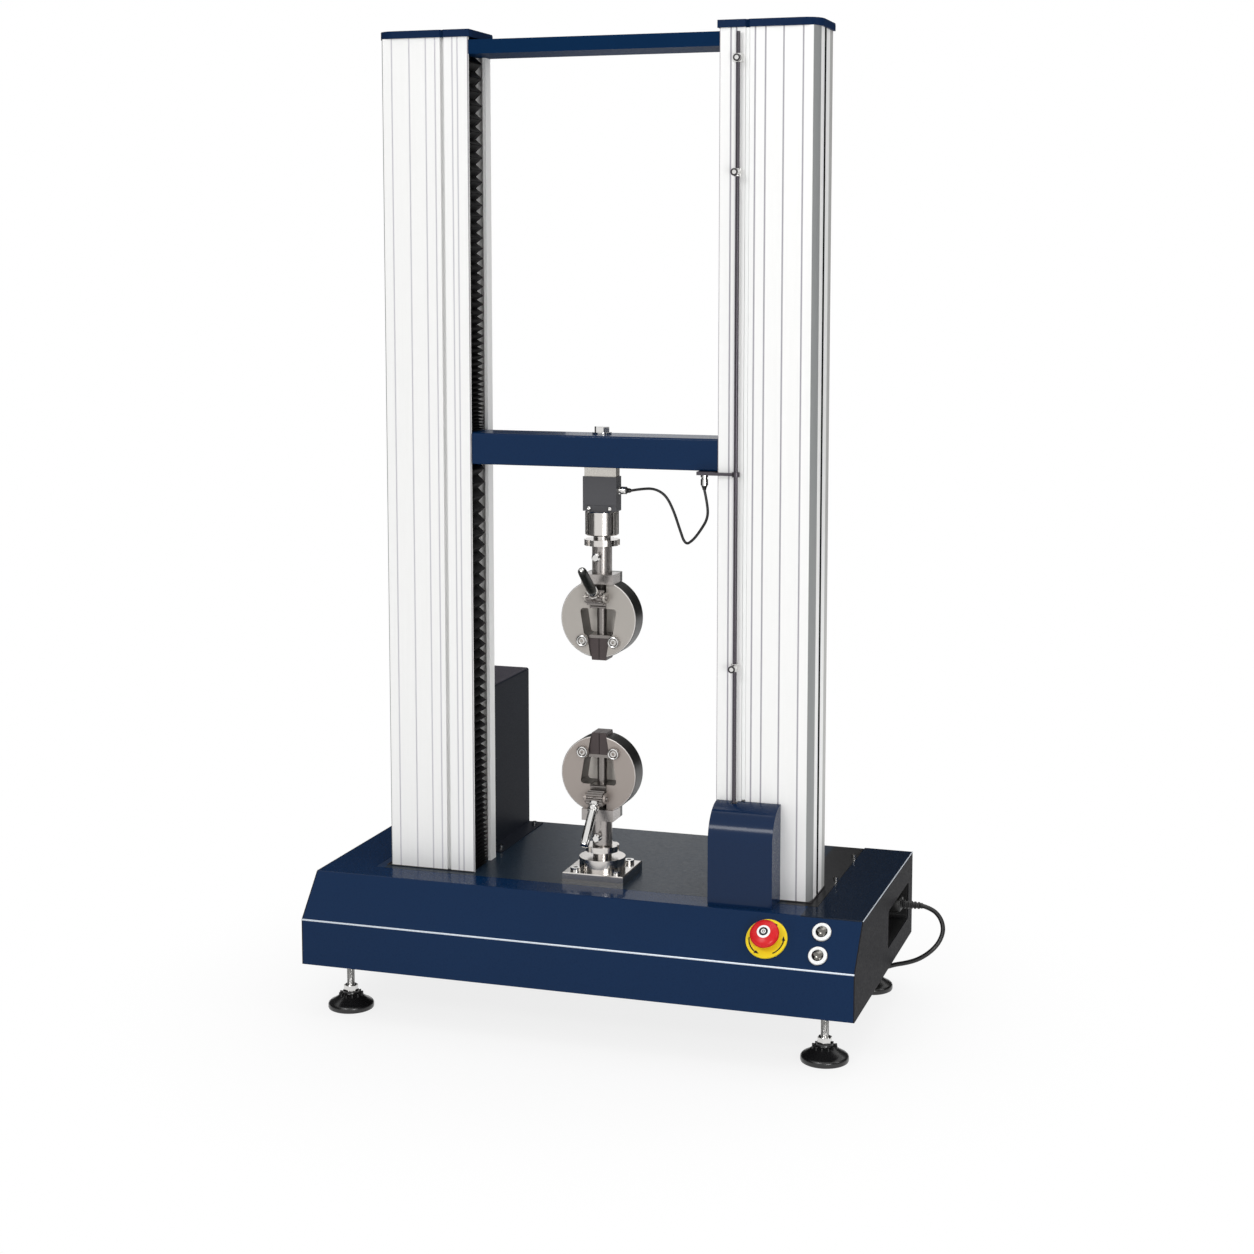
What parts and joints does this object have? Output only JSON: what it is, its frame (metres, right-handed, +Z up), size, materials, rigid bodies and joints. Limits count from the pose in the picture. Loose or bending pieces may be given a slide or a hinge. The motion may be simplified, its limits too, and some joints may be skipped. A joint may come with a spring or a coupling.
{
  "type": "universal testing machine",
  "caption": "Floor-standing twin-column tensile testing machine with a sliding crosshead, load cell, wedge grips, bellows, limit rod and operator controls.",
  "frame": {"origin": "on the floor, under the middle of the base", "axes": "+Z up, -Y towards the operator, +X towards the machine's right-hand end with the controls"},
  "size_m": [0.9182, 0.44, 1.4751],
  "materials": {
    "blue_paint": "satin",
    "charcoal_paint": "fine textured satin",
    "bed_metal": "satin",
    "cap_plastic": "moulded matte",
    "column_aluminium": "anodised satin",
    "machined_steel": "machined",
    "jaw_steel": "hardened, darkened",
    "cell_aluminium": "machined",
    "cell_cover_plastic": "matte",
    "bright_steel": "polished",
    "lever_black": "satin black",
    "foot_rubber": "moulded rubber over steel",
    "belt_rubber": "moulded",
    "bellows_fabric": "coated cloth",
    "motor_black": "satin",
    "stop_yellow": "gloss",
    "stop_red": "gloss",
    "inlet_plastic": "moulded",
    "cord_rubber": "moulded"
  },
  "bodies": {
    "machine": {"base_cover": "blue_paint", "base_panels": "charcoal_paint", "base_frame": "charcoal_paint", "bed_plate": "bed_metal", "bed_fasteners": "bright_steel", "levelling_feet": "foot_rubber", "left_column": "column_aluminium", "right_column": "column_aluminium", "column_caps": "cap_plastic", "top_beam": "blue_paint", "column_guides": "machined_steel", "drive_belt": "belt_rubber", "motor": "motor_black", "motor_box": "charcoal_paint", "hood": "blue_paint", "limit_fittings": "bright_steel", "mounting_flange": "machined_steel", "lower_yoke": "machined_steel", "lower_grip_body": "machined_steel", "estop_base": "stop_yellow", "button_bezels": "bright_steel", "power_inlet": "inlet_plastic", "inlet_plug": "cord_rubber", "mains_cord": "cord_rubber", "mains_coil": "cord_rubber", "mains_plug": "cord_rubber", "upper_bellows": "bellows_fabric", "lower_bellows": "bellows_fabric"},
    "crosshead_assembly": {"crosshead": "blue_paint", "crosshead_bearings": "machined_steel", "clamp_bolt": "bright_steel", "striker_arm": "bright_steel", "load_cell": "cell_aluminium", "cell_cover": "cell_cover_plastic", "cell_coupling": "machined_steel", "upper_yoke": "machined_steel", "upper_grip_body": "machined_steel", "cable_plugs": "bright_steel", "signal_cable": "cord_rubber"},
    "left_screw_body": {"left_screw": "machined_steel"},
    "right_screw_body": {"right_screw": "machined_steel"},
    "motor_pulley_body": {"motor_pulley": "machined_steel"},
    "limit_rod_body": {"limit_rod": "bright_steel"},
    "upper_stop_body": {"upper_stop": "bright_steel"},
    "lower_stop_body": {"lower_stop": "bright_steel"},
    "upper_lever_body": {"upper_lever": "lever_black"},
    "lower_lever_body": {"lower_lever": "bright_steel"},
    "upper_slider_body": {"upper_slider": "machined_steel"},
    "lower_slider_body": {"lower_slider": "machined_steel"},
    "upper_left_jaw_body": {"upper_left_jaw": "jaw_steel"},
    "upper_right_jaw_body": {"upper_right_jaw": "jaw_steel"},
    "lower_left_jaw_body": {"lower_left_jaw": "jaw_steel"},
    "lower_right_jaw_body": {"lower_right_jaw": "jaw_steel"},
    "upper_pin_body": {"upper_pin": "bright_steel"},
    "lower_pin_body": {"lower_pin": "bright_steel"},
    "estop_stem_body": {"estop_stem": "stop_red"},
    "estop_head_body": {"estop_head": "stop_red"},
    "jog_button_up_body": {"jog_button_up": "bright_steel"},
    "jog_button_down_body": {"jog_button_down": "bright_steel"},
    "rocker_body": {"rocker": "inlet_plastic"}
  },
  "joints": [
    {"name": "crosshead_slide", "type": "slide", "parent": "machine", "child": "crosshead_assembly", "axis": [0, 0, 1], "range_m": [-0.105, 0.41], "deforming": ["upper_bellows", "lower_bellows"]},
    {"name": "left_screw_spin", "type": "hinge", "parent": "machine", "child": "left_screw_body", "pos_m": [-0.262, -0.056, 0.8], "axis": [0, 0, 1], "continuous": true},
    {"name": "right_screw_spin", "type": "hinge", "parent": "machine", "child": "right_screw_body", "pos_m": [0.262, -0.056, 0.8], "axis": [0, 0, 1], "continuous": true},
    {"name": "motor_spin", "type": "hinge", "parent": "machine", "child": "motor_pulley_body", "pos_m": [-0.281, 0.1105, 0.2], "axis": [0, 0, 1], "continuous": true},
    {"name": "limit_rod_slide", "type": "slide", "parent": "machine", "child": "limit_rod_body", "axis": [0, 0, 1], "range_m": [-0.004, 0.004], "stiffness_N_per_m": 2500, "springref_m": 0.00122},
    {"name": "upper_stop_slide", "type": "slide", "parent": "limit_rod_body", "child": "upper_stop_body", "axis": [0, 0, 1], "range_m": [0, 0.14]},
    {"name": "lower_stop_slide", "type": "slide", "parent": "limit_rod_body", "child": "lower_stop_body", "axis": [0, 0, 1], "range_m": [-0.18, 0]},
    {"name": "upper_lever_turn", "type": "hinge", "parent": "crosshead_assembly", "child": "upper_lever_body", "pos_m": [0, -0.087, 0.6414], "axis": [1, 0, 0], "range_deg": [0, 68.75]},
    {"name": "upper_slider_slide", "type": "slide", "parent": "crosshead_assembly", "child": "upper_slider_body", "axis": [0, 0, 1], "range_m": [0, 0.012]},
    {"name": "upper_left_jaw_slide", "type": "slide", "parent": "crosshead_assembly", "child": "upper_left_jaw_body", "axis": [-0.1736, 0, 0.9848], "range_m": [0, 0.01218]},
    {"name": "upper_right_jaw_slide", "type": "slide", "parent": "crosshead_assembly", "child": "upper_right_jaw_body", "axis": [0.1736, 0, 0.9848], "range_m": [0, 0.01218]},
    {"name": "lower_lever_turn", "type": "hinge", "parent": "machine", "child": "lower_lever_body", "pos_m": [0, -0.087, 0.3371], "axis": [1, 0, 0], "range_deg": [-68.75, 0]},
    {"name": "lower_slider_slide", "type": "slide", "parent": "machine", "child": "lower_slider_body", "axis": [0, 0, 1], "range_m": [-0.012, 0]},
    {"name": "lower_left_jaw_slide", "type": "slide", "parent": "machine", "child": "lower_left_jaw_body", "axis": [0.1736, 0, 0.9848], "range_m": [-0.01218, 0]},
    {"name": "lower_right_jaw_slide", "type": "slide", "parent": "machine", "child": "lower_right_jaw_body", "axis": [-0.1736, 0, 0.9848], "range_m": [-0.01218, 0]},
    {"name": "upper_pin_pull", "type": "slide", "parent": "crosshead_assembly", "child": "upper_pin_body", "axis": [0, -1, 0], "range_m": [0, 0.038]},
    {"name": "lower_pin_pull", "type": "slide", "parent": "machine", "child": "lower_pin_body", "axis": [0, -1, 0], "range_m": [0, 0.038]},
    {"name": "estop_press", "type": "slide", "parent": "machine", "child": "estop_stem_body", "axis": [0, 0.7397, -0.6729], "range_m": [0, 0.004], "stiffness_N_per_m": 900, "springref_m": -0.0005},
    {"name": "estop_twist", "type": "hinge", "parent": "estop_stem_body", "child": "estop_head_body", "pos_m": [0.2915, -0.19241, 0.17963], "axis": [0, -0.7397, 0.6729], "range_deg": [0, 30], "stiffness_Nm_per_rad": 0.05},
    {"name": "jog_up_press", "type": "slide", "parent": "machine", "child": "jog_button_up_body", "axis": [0, 0.7397, -0.6729], "range_m": [0, 0.003], "stiffness_N_per_m": 400, "springref_m": -0.0004},
    {"name": "jog_down_press", "type": "slide", "parent": "machine", "child": "jog_button_down_body", "axis": [0, 0.7397, -0.6729], "range_m": [0, 0.003], "stiffness_N_per_m": 400, "springref_m": -0.0004},
    {"name": "rocker_tilt", "type": "hinge", "parent": "machine", "child": "rocker_body", "pos_m": [0.402, 0.084, 0.1475], "axis": [0, 1, 0], "range_deg": [-16, 0]}
  ],
  "couplings": [
    {"joint": "left_screw_spin", "follows": "crosshead_slide", "rad_per_m": 628.32},
    {"joint": "right_screw_spin", "follows": "crosshead_slide", "rad_per_m": 628.32},
    {"joint": "motor_spin", "follows": "crosshead_slide", "rad_per_m": 1204.3},
    {"joint": "upper_slider_slide", "follows": "upper_lever_turn", "m_per_rad": 0.01},
    {"joint": "upper_left_jaw_slide", "follows": "upper_lever_turn", "m_per_rad": 0.010154},
    {"joint": "upper_right_jaw_slide", "follows": "upper_lever_turn", "m_per_rad": 0.010154},
    {"joint": "lower_slider_slide", "follows": "lower_lever_turn", "m_per_rad": 0.01},
    {"joint": "lower_left_jaw_slide", "follows": "lower_lever_turn", "m_per_rad": 0.010154},
    {"joint": "lower_right_jaw_slide", "follows": "lower_lever_turn", "m_per_rad": 0.010154}
  ]
}
